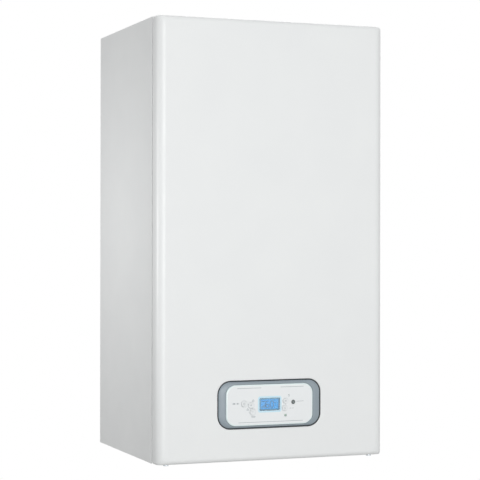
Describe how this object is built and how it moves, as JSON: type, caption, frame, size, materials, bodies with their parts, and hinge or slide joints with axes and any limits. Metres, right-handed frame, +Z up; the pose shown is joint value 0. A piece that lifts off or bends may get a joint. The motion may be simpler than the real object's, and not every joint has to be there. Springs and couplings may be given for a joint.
{
  "type": "combi boiler",
  "caption": "White wall-hung gas combi boiler: tall box casing with lift-off front cover, tilting control box with blue display, and full gas and water works inside.",
  "frame": {"origin": "middle of the wall bracket's rear face, 672 mm above the casing's bottom edge", "axes": "+Z up, +Y into the wall, front cover faces -Y, +X to the right seen from the front"},
  "size_m": [0.4, 0.3291, 0.7365],
  "materials": {
    "white_paint": "white powder coat, fine orange peel",
    "zinc_sheet": "zinc-plated sheet steel",
    "foam_seal": "closed-cell foam strip",
    "plated_screw": "bright zinc plating",
    "dark_plastic": "fine texture",
    "grey_plastic": "satin, blue-grey",
    "white_plastic": "satin white",
    "button_dark": "satin",
    "lcd_blue": "clear window over a lit blue display",
    "lamp": "translucent",
    "circuit_board": "solder mask",
    "red_paint": "stoved enamel",
    "castings": "die cast, shot blasted",
    "coil_metal": "machined",
    "stainless": "stainless",
    "ceramic": "glazed ceramic",
    "brass": "hot pressed",
    "copper": "drawn copper tube",
    "pump_paint": "enamel",
    "iron": "coated",
    "red_plastic": "moulded",
    "blue_plastic": "moulded",
    "hose": "smooth rubber"
  },
  "bodies": {
    "casing": {"wall_bracket": "zinc_sheet", "back_panel": "zinc_sheet", "side_panel_left": "white_paint", "side_panel_right": "white_paint", "top_panel": "white_paint", "bottom_tray": "zinc_sheet", "front_frame": "zinc_sheet", "cover_seal": "foam_seal", "hinge_pin_left": "plated_screw", "hinge_pin_right": "plated_screw", "expansion_vessel": "red_paint", "heat_cell": "stainless", "heat_coil": "coil_metal", "burner_door": "castings", "burner": "stainless", "ignition_electrode": "ceramic", "spark_generator": "dark_plastic", "flue_sleeve": "white_plastic", "flue_collar": "dark_plastic", "fan_housing": "castings", "fan_motor": "dark_plastic", "venturi": "castings", "mixture_duct": "dark_plastic", "air_silencer": "dark_plastic", "gas_valve": "castings", "gas_supply_pipe": "stainless", "flow_manifold": "brass", "return_manifold": "brass", "plate_exchanger": "stainless", "pump_volute": "iron", "pump_motor": "pump_paint", "diverter_motor": "white_plastic", "relief_valve": "brass", "air_vent": "brass", "flow_pipe": "copper", "return_pipe": "copper", "condensate_trap": "white_plastic", "drain_hose": "hose"},
    "cover": {"front_cover": "white_paint"},
    "control_box": {"control_housing": "dark_plastic", "control_surround": "grey_plastic", "fascia": "white_plastic", "display_lens": "lcd_blue", "display_module": "dark_plastic", "control_board": "circuit_board", "status_lamp": "lamp"},
    "cover_screw_left": {"cover_screw_left": "plated_screw"},
    "cover_screw_right": {"cover_screw_right": "plated_screw"},
    "fan_impeller": {"fan_impeller": "castings"},
    "pump_impeller": {"pump_impeller": "white_plastic"},
    "flow_turbine": {"flow_turbine": "white_plastic"},
    "diverter_spindle": {"diverter_spindle": "brass"},
    "relief_knob": {"relief_knob": "red_plastic"},
    "filling_knob": {"filling_knob": "blue_plastic"},
    "mode_button": {"mode_button": "white_plastic"},
    "plus_button": {"plus_button": "white_plastic"},
    "minus_button": {"minus_button": "white_plastic"},
    "heating_button": {"heating_button": "white_plastic"},
    "water_button": {"water_button": "white_plastic"},
    "reset_button": {"reset_button": "button_dark"}
  },
  "joints": [
    {"name": "cover_slide", "type": "slide", "parent": "casing", "child": "cover", "axis": [0, -1, 0], "range_m": [0, 0.35]},
    {"name": "control_box_tilt", "type": "hinge", "parent": "casing", "child": "control_box", "pos_m": [0, -0.268, -0.635], "axis": [1, 0, 0], "range_deg": [0, 80]},
    {"name": "cover_screw_left_turn", "type": "hinge", "parent": "cover", "child": "cover_screw_left", "pos_m": [-0.18, -0.31, -0.672], "axis": [0, 0, 1], "range_deg": [0, 90]},
    {"name": "cover_screw_right_turn", "type": "hinge", "parent": "cover", "child": "cover_screw_right", "pos_m": [0.18, -0.31, -0.672], "axis": [0, 0, 1], "range_deg": [0, 90]},
    {"name": "fan_spin", "type": "hinge", "parent": "casing", "child": "fan_impeller", "pos_m": [0.125, -0.2643, -0.287], "axis": [0, 1, 0], "continuous": true},
    {"name": "pump_spin", "type": "hinge", "parent": "casing", "child": "pump_impeller", "pos_m": [0.125, -0.12, -0.5297], "axis": [0, 1, 0], "continuous": true},
    {"name": "flow_turbine_spin", "type": "hinge", "parent": "casing", "child": "flow_turbine", "pos_m": [0.065, -0.11, -0.638], "axis": [0, 0, 1], "continuous": true},
    {"name": "diverter_travel", "type": "slide", "parent": "casing", "child": "diverter_spindle", "axis": [0, 1, 0], "range_m": [0, 0.006]},
    {"name": "relief_knob_turn", "type": "hinge", "parent": "casing", "child": "relief_knob", "pos_m": [0.062, -0.175, -0.596], "axis": [0, 1, 0], "range_deg": [0, 90]},
    {"name": "filling_knob_turn", "type": "hinge", "parent": "casing", "child": "filling_knob", "pos_m": [0.0975, -0.11, -0.662], "axis": [0, 0, 1], "range_deg": [0, 90]},
    {"name": "mode_button_press", "type": "slide", "parent": "control_box", "child": "mode_button", "axis": [0, 1, 0], "range_m": [0, 0.0008], "stiffness_N_per_m": 600},
    {"name": "plus_button_press", "type": "slide", "parent": "control_box", "child": "plus_button", "axis": [0, 1, 0], "range_m": [0, 0.0008], "stiffness_N_per_m": 600},
    {"name": "minus_button_press", "type": "slide", "parent": "control_box", "child": "minus_button", "axis": [0, 1, 0], "range_m": [0, 0.0008], "stiffness_N_per_m": 600},
    {"name": "heating_button_press", "type": "slide", "parent": "control_box", "child": "heating_button", "axis": [0, 1, 0], "range_m": [0, 0.0008], "stiffness_N_per_m": 600},
    {"name": "water_button_press", "type": "slide", "parent": "control_box", "child": "water_button", "axis": [0, 1, 0], "range_m": [0, 0.0008], "stiffness_N_per_m": 600},
    {"name": "reset_button_press", "type": "slide", "parent": "control_box", "child": "reset_button", "axis": [0, 1, 0], "range_m": [0, 0.0008], "stiffness_N_per_m": 600}
  ],
  "couplings": [
    {"joint": "control_box_tilt", "follows": "cover_slide", "rad_per_m": 3.989}
  ]
}
